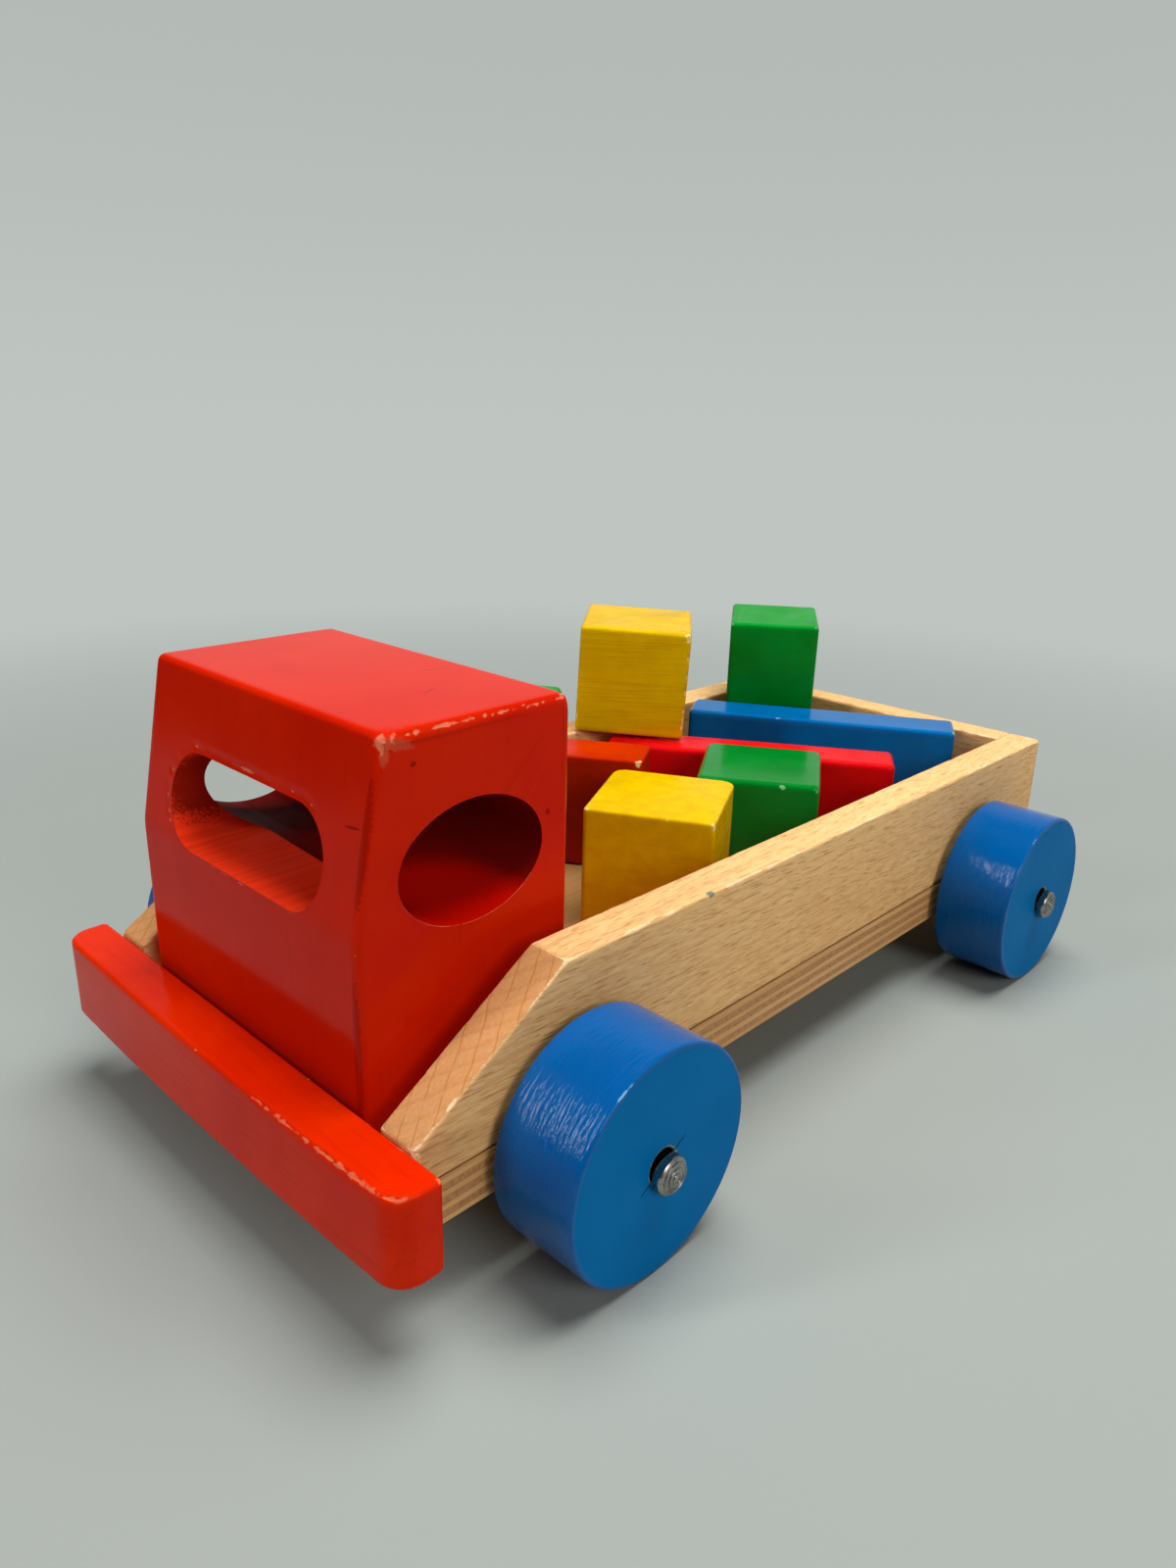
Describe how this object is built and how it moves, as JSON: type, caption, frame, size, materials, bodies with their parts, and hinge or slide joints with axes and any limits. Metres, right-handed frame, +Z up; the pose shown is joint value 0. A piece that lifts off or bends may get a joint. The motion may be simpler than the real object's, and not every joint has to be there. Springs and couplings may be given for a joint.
{
  "type": "wooden toy truck",
  "caption": "Wooden toy truck with a painted block cab, low plank bed, free-rolling wheels and a load of painted blocks.",
  "frame": {"origin": "middle of the overall box at ground level, under the truck", "axes": "+X forward towards the bumper, +Y the truck's left side, +Z up"},
  "size_m": [0.2572, 0.1638, 0.1043],
  "materials": {
    "plywood": "plywood with its layers showing on the edges, light wear",
    "beech": "clear-lacquered beech with short dark flecks, eased edges",
    "dowel_wood": "plain turned dowel",
    "cab_red": "worn satin toy paint on wood",
    "bumper_red": "worn satin toy paint on wood",
    "wheel_blue": "satin paint with turning ripples",
    "steel": "nickel-plated steel",
    "yellow": "worn satin toy paint on wood",
    "green": "worn satin toy paint on wood",
    "orange_red": "worn satin toy paint on wood",
    "crimson": "worn satin toy paint on wood",
    "bar_blue": "worn satin toy paint on wood"
  },
  "bodies": {
    "truck": {"base_board": "plywood", "side_board_left": "beech", "side_board_right": "beech", "tailgate": "beech", "cab_block": "cab_red", "bumper": "bumper_red", "cab_screw_left": "steel", "cab_screw_right": "steel", "bumper_dowel_left": "dowel_wood", "bumper_dowel_right": "dowel_wood", "front_axle": "steel", "front_cap_left": "steel", "front_cap_right": "steel", "rear_axle": "steel", "rear_cap_left": "steel", "rear_cap_right": "steel"},
    "front_wheel_left": {"front_wheel_left": "wheel_blue"},
    "front_wheel_right": {"front_wheel_right": "wheel_blue"},
    "rear_wheel_left": {"rear_wheel_left": "wheel_blue"},
    "rear_wheel_right": {"rear_wheel_right": "wheel_blue"},
    "blue_bar": {"blue_bar": "bar_blue"},
    "red_bar": {"red_bar": "crimson"},
    "orange_half_block": {"orange_half_block": "orange_red"},
    "green_cube_front": {"green_cube_front": "green"},
    "yellow_cube_front": {"yellow_cube_front": "yellow"},
    "green_upright_block": {"green_upright_block": "green"},
    "yellow_cube_top": {"yellow_cube_top": "yellow"},
    "green_cube_corner": {"green_cube_corner": "green"}
  },
  "joints": [
    {"name": "front_wheel_left_spin", "type": "hinge", "parent": "truck", "child": "front_wheel_left", "pos_m": [0.07785, 0.0684, 0.0242], "axis": [0, 1, 0], "continuous": true},
    {"name": "front_wheel_right_spin", "type": "hinge", "parent": "truck", "child": "front_wheel_right", "pos_m": [0.07785, -0.0684, 0.0242], "axis": [0, 1, 0], "continuous": true},
    {"name": "rear_wheel_left_spin", "type": "hinge", "parent": "truck", "child": "rear_wheel_left", "pos_m": [-0.08915, 0.0684, 0.0242], "axis": [0, 1, 0], "continuous": true},
    {"name": "rear_wheel_right_spin", "type": "hinge", "parent": "truck", "child": "rear_wheel_right", "pos_m": [-0.08915, -0.0684, 0.0242], "axis": [0, 1, 0], "continuous": true},
    {"name": "blue_bar_lift", "type": "slide", "parent": "truck", "child": "blue_bar", "axis": [0, 0, 1], "range_m": [0, 0.08]},
    {"name": "red_bar_lift", "type": "slide", "parent": "truck", "child": "red_bar", "axis": [0, 0, 1], "range_m": [0, 0.08]},
    {"name": "orange_half_block_lift", "type": "slide", "parent": "truck", "child": "orange_half_block", "axis": [0, 0, 1], "range_m": [0, 0.08]},
    {"name": "green_cube_front_lift", "type": "slide", "parent": "truck", "child": "green_cube_front", "axis": [0, 0, 1], "range_m": [0, 0.08]},
    {"name": "yellow_cube_front_lift", "type": "slide", "parent": "truck", "child": "yellow_cube_front", "axis": [0, 0, 1], "range_m": [0, 0.08]},
    {"name": "green_upright_block_lift", "type": "slide", "parent": "truck", "child": "green_upright_block", "axis": [0, 0, 1], "range_m": [0, 0.08]},
    {"name": "yellow_cube_top_lift", "type": "slide", "parent": "red_bar", "child": "yellow_cube_top", "axis": [0, 0, 1], "range_m": [0, 0.06]},
    {"name": "green_cube_corner_lift", "type": "slide", "parent": "truck", "child": "green_cube_corner", "axis": [0, 0, 1], "range_m": [0, 0.06]}
  ]
}
